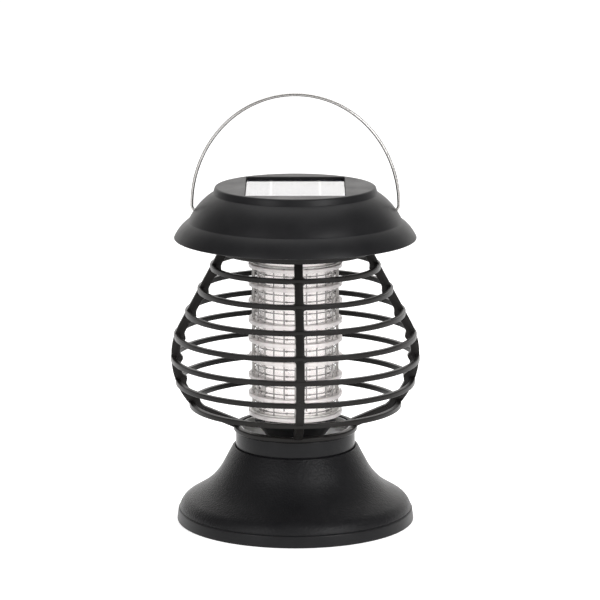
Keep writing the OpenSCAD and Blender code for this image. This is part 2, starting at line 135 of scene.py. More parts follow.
def piece(name, shape, finish, crease=40):
    """Puts a shape, in millimetres, into a mesh in metres, closes its seams and poles, and
    shades it smooth except along edges sharper than `crease` degrees."""
    points, faces = shape
    mesh = bpy.data.meshes.new(name)
    mesh.vertices.add(len(points))
    mesh.vertices.foreach_set("co", (points * mm).astype(np.float32).ravel())
    mesh.loops.add(faces.size)
    mesh.loops.foreach_set("vertex_index", faces.astype(np.int32).ravel())
    mesh.polygons.add(len(faces))
    mesh.polygons.foreach_set("loop_start", np.arange(0, faces.size, faces.shape[1], dtype=np.int32))
    mesh.update(calc_edges=True)
    mesh.validate()
    work = bmesh.new()
    work.from_mesh(mesh)
    bmesh.ops.remove_doubles(work, verts=work.verts, dist=2e-6)
    work.to_mesh(mesh)
    work.free()
    mesh.shade_smooth()
    mesh.set_sharp_from_angle(angle=math.radians(crease))
    mesh.materials.append(finish)
    made = bpy.data.objects.new(name, mesh)
    bpy.context.scene.collection.objects.link(made)
    return made


def new_finish(name, sockets):
    """A material whose shader has these values on its own sockets."""
    finish = bpy.data.materials.new(name)
    finish.use_nodes = True
    for socket, value in sockets.items():
        finish.node_tree.nodes["Principled BSDF"].inputs[socket].default_value = value
    return finish


def add(finish, kind, inputs=None, **settings):
    """Adds a shader node. A socket given as an input is linked, and anything else is set."""
    node = finish.node_tree.nodes.new("ShaderNode" + kind)
    for name, value in settings.items():
        setattr(node, name, value)
    for name, value in (inputs or {}).items():
        if isinstance(value, bpy.types.NodeSocket):
            finish.node_tree.links.new(value, node.inputs[name])
        else:
            node.inputs[name].default_value = value
    return node


def link(finish, output, socket):
    """Links an output to a socket of the finish's shader."""
    finish.node_tree.links.new(output, finish.node_tree.nodes["Principled BSDF"].inputs[socket])


def ramp(finish, value, low, high, dark, light):
    """A colour that runs from dark to light as value goes from low to high."""
    spread = add(finish, "MapRange", {"Value": value, "From Min": low, "From Max": high})
    mix = add(finish, "Mix", {"Factor": spread.outputs["Result"]}, data_type="RGBA")
    mix.inputs[6].default_value = (*dark, 1)
    mix.inputs[7].default_value = (*light, 1)
    return mix.outputs[2]


def tint(finish, value, dark, light):
    """Gives a finish a base colour that runs from dark to light over the middle of a noise."""
    link(finish, ramp(finish, value, 0.3, 0.7, dark, light), "Base Color")


def black_plastic(name, tone, shine, grain, grain_height):
    """Black moulded plastic. `grain` is the size of one pebble of the mould's texture in
    millimetres and grain_height its depth; shine is the lowest and highest roughness."""
    finish = new_finish(name, {"Specular IOR Level": 0.19, "IOR": 1.45})
    where = add(finish, "TexCoord").outputs["Object"]
    pebble = add(finish, "TexVoronoi", {"Vector": where, "Scale": 1 / (grain * mm), "Smoothness": 0.6},
                 feature="SMOOTH_F1")
    fine = add(finish, "TexNoise", {"Vector": where, "Scale": 3.1 / (grain * mm), "Detail": 3.0})
    broad = add(finish, "TexNoise", {"Vector": where, "Scale": 55.0, "Detail": 4.0, "Roughness": 0.6})
    both = add(finish, "Math", {0: pebble.outputs["Distance"], 1: fine.outputs["Fac"]}, operation="ADD")
    bump = add(finish, "Bump", {"Height": both.outputs["Value"], "Distance": grain_height * mm,
                                "Strength": 0.8})
    colour = ramp(finish, broad.outputs["Fac"], 0.3, 0.72, tone, [t + 0.003 for t in tone])
    rough = add(finish, "MapRange", {"Value": broad.outputs["Fac"], "From Min": 0.3, "From Max": 0.7,
                                     "To Min": shine[0], "To Max": shine[1]})
    link(finish, colour, "Base Color")
    link(finish, rough.outputs["Result"], "Roughness")
    link(finish, bump.outputs["Normal"], "Normal")
    return finish


foot_grain = black_plastic("foot_grain", (0.007, 0.007, 0.008), (0.29, 0.38), 1.15, 0.16)
foot_outline = np.concatenate([
    [(skirt_r - foot_wall, skirt_z), (skirt_r, skirt_z), (skirt_r, rim_top)],
    [(shoulder_centre[0] + shoulder_r * math.cos(math.radians(shoulder_end)), rim_top)],
    arc(shoulder_centre, shoulder_r, shoulder_end, skirt),
    arc(sweep_centre, sweep_r, 180 + skirt, 180 + flank, 32),
    [(neck_r, neck_top), (socket_r, neck_top), (socket_r, shelf_z), (shelf_hole, shelf_z)],
    [(shelf_hole, shelf_z - shelf_t)],
    arc(sweep_centre, sweep_r + foot_wall, 213, 180 + skirt, 24),
    arc(shoulder_centre, shoulder_r - foot_wall, skirt, shoulder_end),
])
post = soften([(0, skirt_z), (foot_post_r, skirt_z), (foot_post_r, foot_post_top),
               (0, foot_post_top)], 0.4)
foot_parts = [turned(soften(foot_outline, 0.45), 224)]
foot_parts += [moved(turned(post, 32), foot_post_at * math.cos(a), foot_post_at * math.sin(a))
               for a in foot_post_turns]


def slab(size, place, corner, edge, across=6):
    """A block with round corners in plan and rounded top and bottom edges. Every level is the
    same rounded rectangle, drawn in by `inset`, and the middle of each face is its pole. A ring
    just inside each face's edge keeps the face flat up to the rounding."""
    (w, d, h), (x, y, z) = size, place
    a = np.radians(np.linspace(0, 90, across))
    turns = (a[None] + np.radians([0, 90, 180, 270])[:, None]).ravel()
    sx, sy = np.repeat([1, -1, -1, 1], across), np.repeat([1, 1, -1, -1], across)
    t = np.radians(np.linspace(-90, 0, 4))
    inset = edge * (1 - np.cos(t))
    rise = edge * (1 + np.sin(t))
    inner = min(edge + 0.25, corner)
    inset = np.concatenate([[edge, inner], inset, inset[::-1], [inner, edge]])
    level = np.concatenate([[0, 0], rise, h - rise[::-1], [h, h]])
    scale = np.concatenate([[0], np.ones(len(inset) - 2), [0]])[:, None]
    px = (w / 2 - corner) * sx + (corner - inset[:, None]) * np.cos(turns)
    py = (d / 2 - corner) * sy + (corner - inset[:, None]) * np.sin(turns)
    points = np.stack([x + px * scale, y + py * scale, z + level[:, None] + 0 * px], -1)
    return points.reshape(-1, 3), grid_faces(len(level), len(turns), False, True)


def cut_away(made, shapes):
    """Cuts closed shapes out of a piece and keeps the result as its mesh."""
    cutter = piece("cutter", joined(shapes), made.data.materials[0])
    tool = made.modifiers.new("cut", "BOOLEAN")
    tool.operation, tool.object, tool.solver = "DIFFERENCE", cutter, "EXACT"
    depsgraph = bpy.context.evaluated_depsgraph_get()
    mesh = bpy.data.meshes.new_from_object(made.evaluated_get(depsgraph))
    made.modifiers.clear()
    made.data = mesh
    bpy.data.objects.remove(cutter)


foot_shell = piece("foot_shell", joined(foot_parts), foot_grain)
slot_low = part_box("foot_bell")[0][0] / mm
cut_away(foot_shell, [slab((9, 3.0, 1.0), (slot_low + 3.5, 0, 9.1), 0.4, 0.2)])
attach(foot_shell, "foot")
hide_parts("foot_bell")

# ---------------------------------------------------------------------------
# Foot rim: the base plate of the foot, a smooth black moulding whose outer edge stands a
# little proud of the shell as a plain band and lies on the table.
plate_z, plate_t = 1.2, 1.6
foot_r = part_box("foot_base")[1][0] / mm
rim_plastic = black_plastic("rim_plastic", (0.009, 0.009, 0.010), (0.30, 0.40), 0.35, 0.008)
rim_outline = [
    (0, plate_z + 0.3), (20, plate_z + 0.3), (20.5, plate_z), (foot_r - 4.3, plate_z),
    (foot_r - 3.8, 0), (foot_r - 0.4, 0), (foot_r, 0.5), (foot_r - 0.7, rim_top - 0.4),
    (foot_r - 1.1, rim_top), (skirt_r + 0.1, rim_top), (skirt_r + 0.1, plate_z + plate_t),
    (0, plate_z + plate_t)]
foot_rim = piece("foot_rim", turned(soften(rim_outline, 0.35), 224), rim_plastic)
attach(foot_rim, "foot")
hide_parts("foot_base")

# ---------------------------------------------------------------------------
# Screws: small zinc-plated steel pan heads with a cross recess. Three hold the foot's plate,
# one holds the tube's cup to the collar, and four hold the cap's closing disc.
screw_steel = new_finish("screw_steel", {"Metallic": 1.0, "Base Color": (0.62, 0.62, 0.60, 1),
                                         "Specular IOR Level": 0.5})
where = add(screw_steel, "TexCoord").outputs["Object"]
wear = add(screw_steel, "TexNoise", {"Vector": where, "Scale": 2600.0, "Detail": 3.0})
rough = add(screw_steel, "MapRange", {"Value": wear.outputs["Fac"], "To Min": 0.22, "To Max": 0.5})
link(screw_steel, rough.outputs["Result"], "Roughness")
tint(screw_steel, wear.outputs["Fac"], (0.42, 0.42, 0.40), (0.68, 0.68, 0.66))


def screws(spots, under, shank, length, head, head_h):
    """Pan-head screws, heads down. A head is a low dome z = -h sqrt(1 - (r/R)^2), pressed in by
    a cross where |x| or |y| is small, and the shank is a ridged rod above it."""
    r = head * np.sin(np.radians(np.linspace(0, 90, 14)))[:, None]
    a = np.radians(np.arange(0, 360, 7.5))[None]
    x, y = r * np.cos(a), r * np.sin(a)
    dome = -head_h * (0.35 + 0.65 * np.sqrt(np.clip(1 - (r / head) ** 2, 0, 1)))
    near = np.minimum(np.abs(x), np.abs(y))
    cross = np.clip(1 - (near / 0.42) ** 4, 0, 1) * np.clip((0.66 * head - r) / 0.3, 0, 1)
    head_rows = np.stack([x, y, dome + 0.55 * head_h * cross], -1)
    z = np.linspace(0, length, 6 * int(length) + 1)
    rod = shank * (1 - 0.09 * (1 + np.cos(z * 2 * math.pi / 0.9)) / 2)
    rod_r = np.concatenate([[head, shank], rod, [0]])[:, None]
    rod_z = np.concatenate([[0, 0], z, [length]])[:, None]
    rod_rows = np.stack([rod_r * np.cos(a), rod_r * np.sin(a), rod_z + 0 * a], -1)
    rows = np.concatenate([head_rows, rod_rows])
    one = rows.reshape(-1, 3), grid_faces(len(rows), a.size, False, True)
    return joined([moved(one, sx, sy, under) for sx, sy in spots])


spots = [(foot_post_at * math.cos(a), foot_post_at * math.sin(a)) for a in foot_post_turns]
foot_screw_set = piece("foot_screw_set", screws(spots, plate_z, 1.2, 9, 2.8, 1.0), screw_steel)
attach(foot_screw_set, "foot")
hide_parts("foot_screws")

# ---------------------------------------------------------------------------
# Collar: a smooth, glossy black sleeve that plugs into the foot's neck and carries the tray,
# the tube's cup and the cage. A floor across it takes the one screw from below.
collar_low, collar_high = [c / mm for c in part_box("collar")]
collar_r, collar_t, collar_floor, tray_floor = collar_high[0], 2.0, 42.0, 44.0
collar_plastic = black_plastic("collar_plastic", (0.007, 0.007, 0.008), (0.20, 0.27), 0.5, 0.004)
collar_outline = [
    (0, collar_floor), (collar_r - collar_t, collar_floor), (collar_r - collar_t, collar_low[2]),
    (collar_r, collar_low[2]), (collar_r, collar_high[2]), (collar_r - collar_t, collar_high[2]),
    (collar_r - collar_t, tray_floor), (0, tray_floor)]
collar_band = piece("collar_band", turned(soften(collar_outline, 0.4)), collar_plastic)
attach(collar_band, "lamp")
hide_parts("collar")

cup_screw = piece("cup_screw", screws([(0, 0)], collar_floor, 1.2, 8, 2.8, 1.6), screw_steel)
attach(cup_screw, "lamp")
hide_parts("holder_screw")

# ---------------------------------------------------------------------------
# Catch tray: a shallow dish in milky polypropylene that lies in the collar, round the tube's
# foot, and takes what falls off the grid.
tray_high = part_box("catch_tray")[1] / mm
tray_r, tray_wall, tray_t = tray_high[0], 1.2, 1.5
tray_plastic = new_finish("tray_plastic", {
    "Base Color": (0.80, 0.80, 0.78, 1), "IOR": 1.49, "Subsurface Weight": 0.35,
    "Subsurface Radius": (0.004, 0.004, 0.0035), "Subsurface Scale": 1.0})
where = add(tray_plastic, "TexCoord").outputs["Object"]
cloud = add(tray_plastic, "TexNoise", {"Vector": where, "Scale": 140.0, "Detail": 5.0})
rough = add(tray_plastic, "MapRange", {"Value": cloud.outputs["Fac"], "To Min": 0.24, "To Max": 0.44})
bump = add(tray_plastic, "Bump", {"Height": cloud.outputs["Fac"], "Distance": 0.05 * mm,
                                  "Strength": 0.5})
tint(tray_plastic, cloud.outputs["Fac"], (0.82, 0.82, 0.80), (0.90, 0.90, 0.89))
link(tray_plastic, rough.outputs["Result"], "Roughness")
link(tray_plastic, bump.outputs["Normal"], "Normal")
tray_outline = [
    (0, tray_floor), (tray_r - 1, tray_floor), (tray_r, tray_floor + 1), (tray_r, tray_high[2]),
    (tray_r - tray_wall, tray_high[2]), (tray_r - tray_wall, tray_floor + tray_t + 1.6),
    (tray_r - tray_wall - 1.6, tray_floor + tray_t), (0, tray_floor + tray_t)]
catch_dish = piece("catch_dish", turned(soften(tray_outline, 0.5)), tray_plastic)
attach(catch_dish, "lamp")
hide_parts("catch_tray")

# ---------------------------------------------------------------------------
# Tube cup: a black moulding screwed through the tray. A cone rises to a short cylinder with
# eight shallow notches in its rim, and the tube stands on the seat inside it.
cup_low, cup_high = [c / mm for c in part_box("tube_holder")]
cup_r, cup_top, cup_seat = cup_high[0], cup_high[2], 53.0
cup_plastic = black_plastic("cup_plastic", (0.008, 0.008, 0.009), (0.30, 0.42), 0.4, 0.010)
cup_outline = [
    (0, cup_low[2]), (14.8, cup_low[2]), (cup_r, 54.5), (cup_r, 56.2), (cup_r, cup_top),
    (cup_r - 1.2, cup_top), (cup_r - 1.2, 56.2), (cup_r - 1.2, cup_seat), (17, cup_seat),
    (11.8, cup_low[2] + 2), (0, cup_low[2] + 2)]
cup_points, cup_faces = turned(soften(cup_outline, 0.3), 256)
around_cup = np.degrees(np.arctan2(cup_points[:, 1], cup_points[:, 0])) % 45
from_notch = np.minimum(around_cup, 45 - around_cup) * math.pi / 180 * cup_r
sunk = np.clip((2.6 - from_notch) / 0.7, 0, 1)
share = np.clip((cup_points[:, 2] - 56.2) / (cup_top - 56.2), 0, 1) * (cup_points[:, 2] > 56.2)
cup_points[:, 2] -= 1.1 * sunk * sunk * (3 - 2 * sunk) * share
tube_cup = piece("tube_cup", (cup_points, cup_faces), cup_plastic)
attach(tube_cup, "lamp")
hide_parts("tube_holder")

# ---------------------------------------------------------------------------
# Cage: one open moulding in black polypropylene. Seven hoops stand a hair proud of four
# ribs, round fillets fill the corners between them, and a ring at each end joins the ribs.
cage_turn = math.radians(2.4)
rib_w, rib_t, rib_round, gusset, gusset_reach = 4.5, 4.7, 0.55, 1.7, 3.9
hoop_t, hoop_h, hoop_round, hoop_proud = 2.8, 2.7, 0.4, 0.2
fillet_reach, fillet_root = 1.1, 0.6
rib_foot = np.array([30.4, 50.0])
upper_slope, flank_foot = 28.3, np.array([62.7, 108.1])
upper_centre, upper_r, lower_centre, lower_r, lower_turn = (31.0, 91.0), 36.0, (26.0, 91.0), 41.0, 52.0
ring_z, ring_in, ring_out = 148.0, 36.0, 41.6
hoop_heights = [(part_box(f"cage_hoop_{k}")[0][2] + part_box(f"cage_hoop_{k}")[1][2]) / 2 / mm
                for k in range(1, 8)]
cage_plastic = black_plastic("cage_plastic", (0.010, 0.009, 0.0085), (0.27, 0.36), 0.45, 0.007)


def cage_r(z):
    """Outer radius of the cage at height z: a straight flank above, then a circle, then another."""
    top = flank_foot[0] - (z - flank_foot[1]) * math.tan(math.radians(upper_slope))
    middle = upper_centre[0] + np.sqrt(np.clip(upper_r**2 - (z - upper_centre[1]) ** 2, 0, None))
    low = lower_centre[0] + np.sqrt(np.clip(lower_r**2 - (z - lower_centre[1]) ** 2, 0, None))
    return np.where(z > flank_foot[1], top, np.where(z > upper_centre[1], middle, low))


def rounded_bar(width, depth, corner, steps=5):
    """Outline of a bar's section, `width` sideways by `depth` from 0 inwards, with round corners."""
    a = np.radians(np.linspace(0, 90, steps))
    turns = (a[None] + np.radians([0, 90, 180, 270])[:, None]).ravel()
    sx, sy = np.repeat([1, -1, -1, 1], steps), np.repeat([1, 1, -1, -1], steps)
    side = (width / 2 - corner) * sx + corner * np.cos(turns)
    deep = depth / 2 + (depth / 2 - corner) * sy + corner * np.sin(turns)
    return side, deep


def capped(rows, flip=False):
    """A bar from its rows of points, with a pole in the middle of each end to close it."""
    ends = [np.repeat(rows[k].mean(0)[None], rows.shape[1], 0)[None] for k in (0, -1)]
    rows = np.concatenate([ends[0], rows, ends[1]])
    faces = grid_faces(len(rows), rows.shape[1], False, True)
    return rows.reshape(-1, 3), faces[:, ::-1] if flip else faces


def rib(turn):
    """A rounded bar carried down the cage's outline. At each point of the outline the section
    reaches inwards along the normal, by the rib's depth and a gusset that fades away from
    each hoop as g (1 + cos(pi d / reach)) / 2, d being the height above or below the hoop."""
    z_top = np.linspace(ring_z + 1, flank_foot[1], 80)[:-1]
    flank_line = np.column_stack([cage_r(z_top), z_top])
    low_arc = arc(lower_centre, lower_r, -0.8, -lower_turn, 70)
    leg = low_arc[-1] + np.linspace(0, 1, 13)[1:, None] * (rib_foot - low_arc[-1])
    edge = np.concatenate([flank_line, arc(upper_centre, upper_r, upper_slope, 0.5, 34), low_arc, leg])
    away = np.clip(np.abs(edge[:, 1:] - hoop_heights).min(1) / gusset_reach, 0, 1)
    extra = gusset * (1 + np.cos(math.pi * away)) / 2
    along = np.gradient(edge, axis=0)
    along /= np.linalg.norm(along, axis=1)[:, None]
    inward = np.column_stack([along[:, 1], -along[:, 0]])
    inward[-1] = (0, 1)
    side, deep = rounded_bar(rib_w, rib_t, rib_round)
    deep = deep + extra[:, None] * (deep > rib_t / 2)
    r = edge[:, :1] + inward[:, :1] * deep
    z = edge[:, 1:] + inward[:, 1:] * deep
    c, s = math.cos(turn + cage_turn), math.sin(turn + cage_turn)
    return capped(np.stack([r * c - side * s, r * s + side * c, z], -1))


def hoop(z):
    """A ring of rounded rectangular section: (r, z) goes round the axis."""
    side, deep = rounded_bar(hoop_h, hoop_t, hoop_round)
    return turned(np.column_stack([float(cage_r(z)) + hoop_proud - deep, z + side]), 208)


def fillet(z, turn, hand, up, reach):
    """A wedge in the corner between a hoop and a rib. Its inner edge follows the quarter circle
    (reach - reach cos u, reach - reach sin u), and its outer faces lie just inside the cage's skin."""
    u = np.radians(np.linspace(0, 90, 9))
    along = reach - reach * np.sin(u)
    tall = reach - reach * np.cos(u)
    corner_along = np.where(u < math.pi / 4, along, -fillet_root)
    corner_tall = np.where(u < math.pi / 4, -fillet_root, tall)
    s = np.stack([along, corner_along, corner_along, along], -1)
    t = np.stack([tall, corner_tall, corner_tall, tall], -1)
    inset = np.array([0.45, 0.45, hoop_t - 0.3, hoop_t - 0.3])
    height = z + up * (hoop_h / 2 + t)
    radius = cage_r(height) - inset
    angle = turn + cage_turn + hand * (np.arcsin(rib_w / 2 / radius) + s / radius)
    rows = np.stack([radius * np.cos(angle), radius * np.sin(angle), height], -1)
    return capped(rows, flip=hand * up < 0)


rib_turns = np.radians([-90.0, 0.0, 90.0, 180.0])
base_ring = [(30.3, 49.5), (32.9, 49.5), (33.5, 50.1), (33.5, 52.0), (33.0, 52.5), (30.3, 52.5)]
top_ring = [(ring_in, ring_z), (ring_out, ring_z), (ring_out, 155), (ring_in, 155)]


def ring_part(r0, r1, z0, z1, at, angle, steps=20):
    """Part of a ring, r0 to r1 and z0 to z1, that spans `angle` degrees about the direction `at`."""
    corners = soften([(r0, z0), (r1, z0), (r1, z1), (r0, z1)], min(0.25, (z1 - z0) / 3), 4)
    a = np.radians(at + np.linspace(-angle / 2, angle / 2, steps))[:, None]
    rows = np.stack([corners[:, 0] * np.cos(a), corners[:, 0] * np.sin(a), corners[:, 1] + 0 * a], -1)
    return capped(rows, flip=True)


cage_parts = [rib(turn) for turn in rib_turns] + [hoop(z) for z in hoop_heights]
cage_parts += [fillet(z, turn, hand, up, fillet_reach) for z in hoop_heights for turn in rib_turns
               for hand in (-1, 1) for up in (-1, 1)]
cage_parts += [turned(soften(base_ring, 0.3)), turned(soften(top_ring, 0.5))]
cage_parts += [ring_part(33.8, 37, 149.6, 152, at, 22) for at in (0, 120, 240)]
cage_moulding = piece("cage_moulding", joined(cage_parts), cage_plastic)
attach(cage_moulding, "lamp")
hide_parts(*[f"cage_hoop_{k}" for k in range(1, 8)], "rib_front", "rib_right",
            "rib_back", "rib_left", "cage_base_ring", "cage_top_ring")

# ---------------------------------------------------------------------------
# Flanged tube: the grid's insulator, moulded in clear polystyrene with a faint warm tint. It
# stands in the cup, and its nine flanges, left matt, keep the live and the return wires apart.
tube_low, tube_high = [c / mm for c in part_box("grid_tube")]
tube_r, tube_wall, flange_r, flange_t = 20.5, 1.8, tube_high[0], 2.2
top_flange_z, flange_pitch, flange_count = 140.8, 10.125, 9
flange_z = top_flange_z - flange_pitch * np.arange(flange_count - 1, -1, -1)
clear_plastic = new_finish("clear_plastic", {
    "Base Color": (0.98, 0.96, 0.955, 1), "Transmission Weight": 0.88, "IOR": 1.5, "Roughness": 0.06})
where = add(clear_plastic, "TexCoord").outputs["Object"]
flow = add(clear_plastic, "TexNoise", {"Vector": where, "Scale": 190.0, "Detail": 2.0})
bump = add(clear_plastic, "Bump", {"Height": flow.outputs["Fac"], "Distance": 0.05 * mm,
                                   "Strength": 0.2})
rough = add(clear_plastic, "MapRange", {"Value": flow.outputs["Fac"], "To Min": 0.03, "To Max": 0.10})
link(clear_plastic, bump.outputs["Normal"], "Normal")
link(clear_plastic, rough.outputs["Result"], "Roughness")
flange = np.array([(tube_r, -flange_t / 2), (flange_r, -flange_t / 2), (flange_r, flange_t / 2),
                   (tube_r, flange_t / 2)])
tube_outline = np.concatenate([
    [(tube_r - tube_wall, tube_low[2]), (tube_r, tube_low[2])],
    (flange[None] + np.stack([0 * flange_z, flange_z], -1)[:, None]).reshape(-1, 2),
    [(tube_r, tube_high[2]), (tube_r - tube_wall, tube_high[2])]])
flanged_tube = piece("flanged_tube", turned(soften(tube_outline, 0.35), 144), clear_plastic)
matt_rim = new_finish("matt_rim", {
    "Base Color": (0.90, 0.85, 0.84, 1), "Transmission Weight": 0.5, "IOR": 1.5, "Roughness": 0.3})
where = add(matt_rim, "TexCoord").outputs["Object"]
matt = add(matt_rim, "TexNoise", {"Vector": where, "Scale": 800.0, "Detail": 3.0})
bump = add(matt_rim, "Bump", {"Height": matt.outputs["Fac"], "Distance": 0.03 * mm, "Strength": 0.4})
link(matt_rim, bump.outputs["Normal"], "Normal")
tint(matt_rim, matt.outputs["Fac"], (0.88, 0.83, 0.82), (0.93, 0.89, 0.88))
flanged_tube.data.materials.append(matt_rim)
face_middles = np.empty(3 * len(flanged_tube.data.polygons), np.float32)
flanged_tube.data.polygons.foreach_get("center", face_middles)
face_middles = face_middles.reshape(-1, 3)
face_radius = np.hypot(face_middles[:, 0], face_middles[:, 1])
on_flange = (face_radius > (tube_r + 0.4) * mm).astype(np.int32)
flanged_tube.data.polygons.foreach_set("material_index", on_flange)
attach(flanged_tube, "lamp")
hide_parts("grid_tube")

# ---------------------------------------------------------------------------
# Light guide: a frosted cup inside the tube that spreads the light of the diodes above it.
# Its finish gives off a little painted light: a glow that stands in for the room light reaching it
# through the clear tube.
guide_low, guide_high = [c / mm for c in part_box("light_guide")]
guide_r, guide_rim = 16.5, guide_high[0]
# The emission on this finish is painted light. The cup is no lamp, and the glow brightens it the way
# light through the tube would.
frosted_painted_glow = new_finish("frosted_painted_glow", {
    "Base Color": (0.93, 0.92, 0.92, 1), "Roughness": 0.55, "IOR": 1.49, "Subsurface Weight": 0.5,
    "Subsurface Radius": (0.006, 0.006, 0.006), "Subsurface Scale": 1.0,
    "Emission Color": (1, 0.97, 0.96, 1), "Emission Strength": 0.5})
where = add(frosted_painted_glow, "TexCoord").outputs["Object"]
frost = add(frosted_painted_glow, "TexNoise", {"Vector": where, "Scale": 1400.0, "Detail": 3.0})
bump = add(frosted_painted_glow, "Bump", {"Height": frost.outputs["Fac"], "Distance": 0.05 * mm, "Strength": 0.5})
link(frosted_painted_glow, bump.outputs["Normal"], "Normal")
tint(frosted_painted_glow, frost.outputs["Fac"], (0.93, 0.91, 0.91), (0.97, 0.96, 0.96))
guide_outline = [
    (0, guide_low[2]), (guide_r - 2, guide_low[2]), (guide_r, guide_low[2] + 2),
    (guide_r, guide_high[2] - 1.5), (guide_rim, guide_high[2] - 1.5), (guide_rim, guide_high[2]),
    (guide_r - 1.5, guide_high[2]), (guide_r - 1.5, guide_low[2] + 2.5),
    (guide_r - 2.6, guide_low[2] + 1.5), (0, guide_low[2] + 1.5)]
diffuser_cup = piece("diffuser_cup", turned(soften(guide_outline, 0.4), 96), frosted_painted_glow)
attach(diffuser_cup, "lamp")
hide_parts("light_guide")

# ---------------------------------------------------------------------------
# Grid wires: straight steel wires that stand in the flanges, every other one live. Each ends
# in a small cone of solder on the ring that feeds it, and one of each goes up to the cap.
wire_at, wire_r = 23.0, 0.4
live_low, live_high = [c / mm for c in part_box("live_wires")]
return_low, return_high = [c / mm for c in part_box("return_wires")]
live_ring_low, live_ring_high = [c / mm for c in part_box("live_ring")]
grid_steel = new_finish("grid_steel", {"Metallic": 1.0})
where = add(grid_steel, "TexCoord").outputs["Object"]
drawn = add(grid_steel, "Mapping", {"Vector": where, "Scale": (9000.0, 9000.0, 300.0)})
lines = add(grid_steel, "TexNoise", {"Vector": drawn.outputs["Vector"], "Scale": 1.0, "Detail": 2.0})
rough = add(grid_steel, "MapRange", {"Value": lines.outputs["Fac"], "To Min": 0.25, "To Max": 0.45})
link(grid_steel, rough.outputs["Result"], "Roughness")
tint(grid_steel, lines.outputs["Fac"], (0.26, 0.25, 0.24), (0.45, 0.44, 0.43))


def wire(turn, z0, z1, soldered_low, soldered_high):
    """A round wire from z0 to z1. Its radius grows to a cone of solder, r + 0.35 (1 - d / 1.2)^2,
    where d is the distance from a soldered end."""
    z = np.concatenate([[z0], z0 + np.linspace(0, 1.2, 5), z1 - np.linspace(1.2, 0, 5), [z1]])
    r = np.full(len(z), wire_r)
    r += 0.35 * soldered_low * np.clip(1 - (z - z0) / 1.2, 0, 1) ** 2
    r += 0.35 * soldered_high * np.clip(1 - (z1 - z) / 1.2, 0, 1) ** 2
    r[[0, -1]] = 0
    a = np.radians(np.arange(0, 360, 36))
    x = wire_at + r[:, None] * np.cos(a)
    rows = np.stack([x, r[:, None] * np.sin(a), z[:, None] + 0 * a], -1)
    return moved((rows.reshape(-1, 3), grid_faces(len(z), len(a), False, True)), turn=turn)


wire_step = math.radians(15)
live = [wire(k * wire_step, live_low[2], live_ring_low[2], 0, 1) for k in range(1, 24, 2)]
live += [wire(wire_step, live_ring_high[2], live_high[2], 1, 0)]
live_wire_set = piece("live_wire_set", joined(live), grid_steel)
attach(live_wire_set, "lamp")
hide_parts("live_wires")
returns = [wire(k * wire_step, return_low[2], flange_z[-1] if k else return_high[2], 1, 0)
           for k in range(0, 24, 2)]
return_wire_set = piece("return_wire_set", joined(returns), grid_steel)
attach(return_wire_set, "lamp")
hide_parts("return_wires")

# ---------------------------------------------------------------------------
# Wire hoops: thin steel hoops round the tube, a live and a return one in each gap between
# flanges, held to the upright wires by small crimps.
hoop_at, hoop_wire = 22.0, 0.3
crimps, crimp_turn, crimp_length, crimp_swell = 11, math.radians(12.1), 0.55, 0.32


def wire_hoops(node, name):
    """Rings of wire at the CAD hoops' heights. The wire's radius swells to 0.62 at each crimp,
    by the factor exp(-(d / 0.55)^2) of the distance d along the hoop."""
    low, high = [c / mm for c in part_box(node)]
    a = np.arange(0, 2 * math.pi, math.radians(1.2))
    step = 2 * math.pi / crimps
    away = ((a + math.pi / 2 + crimp_turn + step / 2) % step - step / 2) * hoop_at
    r = hoop_wire + crimp_swell * np.exp(-((away / crimp_length) ** 2))
    around = np.radians(np.arange(0, 360, 45))[:, None]
    radius = hoop_at + r * np.cos(around)
    rows = np.stack([radius * np.cos(a), radius * np.sin(a), r * np.sin(around)], -1)
    one = rows.reshape(-1, 3), grid_faces(8, len(a), True, True)
    heights = np.linspace(low[2] + hoop_wire, high[2] - hoop_wire, 8)
    return piece(name, joined([moved(one, z=z) for z in heights]), grid_steel)


live_hoop_set = wire_hoops("live_hoops", "live_hoop_set")
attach(live_hoop_set, "lamp")
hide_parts("live_hoops")
return_hoop_set = wire_hoops("return_hoops", "return_hoop_set")
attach(return_hoop_set, "lamp")
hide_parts("return_hoops")

# ---------------------------------------------------------------------------
# Feed rings: two flat rings of tinned brass that join the wires of one polarity. The upper one has a
# gap where the return feed passes it.
tinned_brass = new_finish("tinned_brass", {"Metallic": 1.0})
where = add(tinned_brass, "TexCoord").outputs["Object"]
tarnish = add(tinned_brass, "TexNoise", {"Vector": where, "Scale": 420.0, "Detail": 5.0})
rough = add(tinned_brass, "MapRange", {"Value": tarnish.outputs["Fac"], "To Min": 0.2, "To Max": 0.5})
link(tinned_brass, rough.outputs["Result"], "Roughness")
tint(tinned_brass, tarnish.outputs["Fac"], (0.55, 0.54, 0.52), (0.76, 0.75, 0.73))
ring_inner, ring_outer = tube_r + 0.1, 24.2
live_band = piece("live_band", ring_part(ring_inner, ring_outer, live_ring_low[2], live_ring_high[2],
                                         180, 352, 120), tinned_brass)
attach(live_band, "lamp")
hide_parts("live_ring")
low_ring_low, low_ring_high = [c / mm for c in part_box("return_ring")]
low_ring = [(ring_inner, low_ring_low[2]), (ring_outer, low_ring_low[2]),
            (ring_outer, low_ring_high[2]), (ring_inner, low_ring_high[2])]
return_band = piece("return_band", turned(soften(low_ring, 0.2), 120), tinned_brass)
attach(return_band, "lamp")
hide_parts("return_ring")

# ---------------------------------------------------------------------------
# Cap: a domed black moulding with a fine matt texture. A flat top with a sunk window for the
# solar panel falls over a round shoulder and a step to a flared skirt.
cap_low, cap_high = [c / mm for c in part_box("cap_shell")]
cap_top, cap_rim, cap_under = cap_high[2], cap_low[2], 178.5
flat_r, cap_wall = 43.2, 2.0
window_w, window_d, window_floor, window_corner = 53.4, 61.0, 179.7, 0.9
cap_shoulder_centre, cap_shoulder_r = (27.2, 150.9), 33.0
cap_flare_centre, cap_flare_r = (45.3, 146.3), 21.8
cap_plastic = black_plastic("cap_plastic", (0.009, 0.009, 0.010), (0.34, 0.44), 0.32, 0.014)


